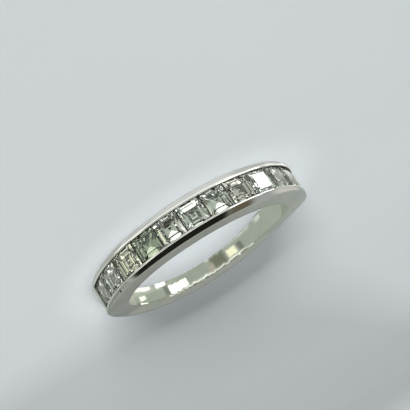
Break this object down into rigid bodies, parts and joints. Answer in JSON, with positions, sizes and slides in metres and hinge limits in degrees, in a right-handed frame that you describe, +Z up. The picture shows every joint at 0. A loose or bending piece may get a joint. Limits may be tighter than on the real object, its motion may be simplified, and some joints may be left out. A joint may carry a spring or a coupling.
{
  "type": "diamond ring",
  "caption": "Half eternity ring: a polished white metal band with square step-cut stones edge to edge in a channel, lying on its side.",
  "frame": {"origin": "middle of the finger hole, half way across the band", "axes": "+Z up out of the finger hole as the ring lies on its side, +Y towards the middle of the row of stones, +X along the row"},
  "size_m": [0.0216, 0.0216, 0.0035],
  "materials": {
    "white_gold": "polished white gold, lightly worn",
    "diamond": "polished step-cut diamond, near colourless"
  },
  "bodies": {
    "root": {"band": "white_gold", "stone_01": "diamond", "stone_02": "diamond", "stone_03": "diamond", "stone_04": "diamond", "stone_05": "diamond", "stone_06": "diamond", "stone_07": "diamond", "stone_08": "diamond", "stone_09": "diamond", "stone_10": "diamond", "stone_11": "diamond", "stone_12": "diamond"}
  },
  "joints": []
}
